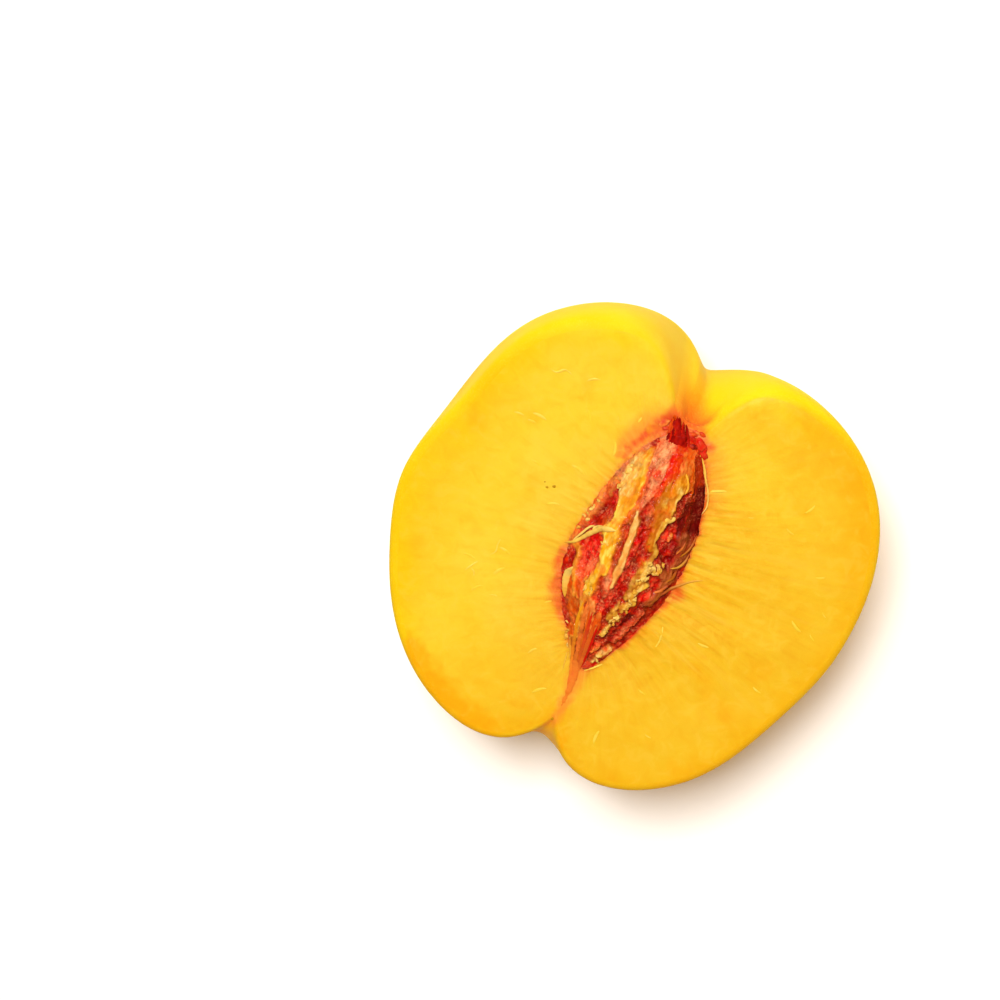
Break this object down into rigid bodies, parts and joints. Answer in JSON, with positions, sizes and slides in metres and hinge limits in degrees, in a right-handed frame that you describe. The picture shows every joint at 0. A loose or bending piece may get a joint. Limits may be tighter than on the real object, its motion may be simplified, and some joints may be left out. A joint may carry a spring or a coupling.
{
  "type": "peach half",
  "caption": "Half of a yellow peach cut from stem to tip, lying cut face up, with its furrowed red stone still in the flesh.",
  "frame": {"origin": "on the surface that the half rests on, under the middle of its box", "axes": "+Z is the normal of the cut face and points up, +Y points to the stem end, +X points to the right cheek"},
  "size_m": [0.07, 0.0696, 0.04],
  "materials": {
    "cut_flesh": "moist cut yellow flesh with fine fibres, red round the stone, under a thin velvety yellow skin",
    "stone": "furrowed and pitted red-brown stone, damp, with shreds of yellow and pink flesh on its ridges"
  },
  "bodies": {
    "root": {"flesh": "cut_flesh", "stone": "stone"}
  },
  "joints": []
}
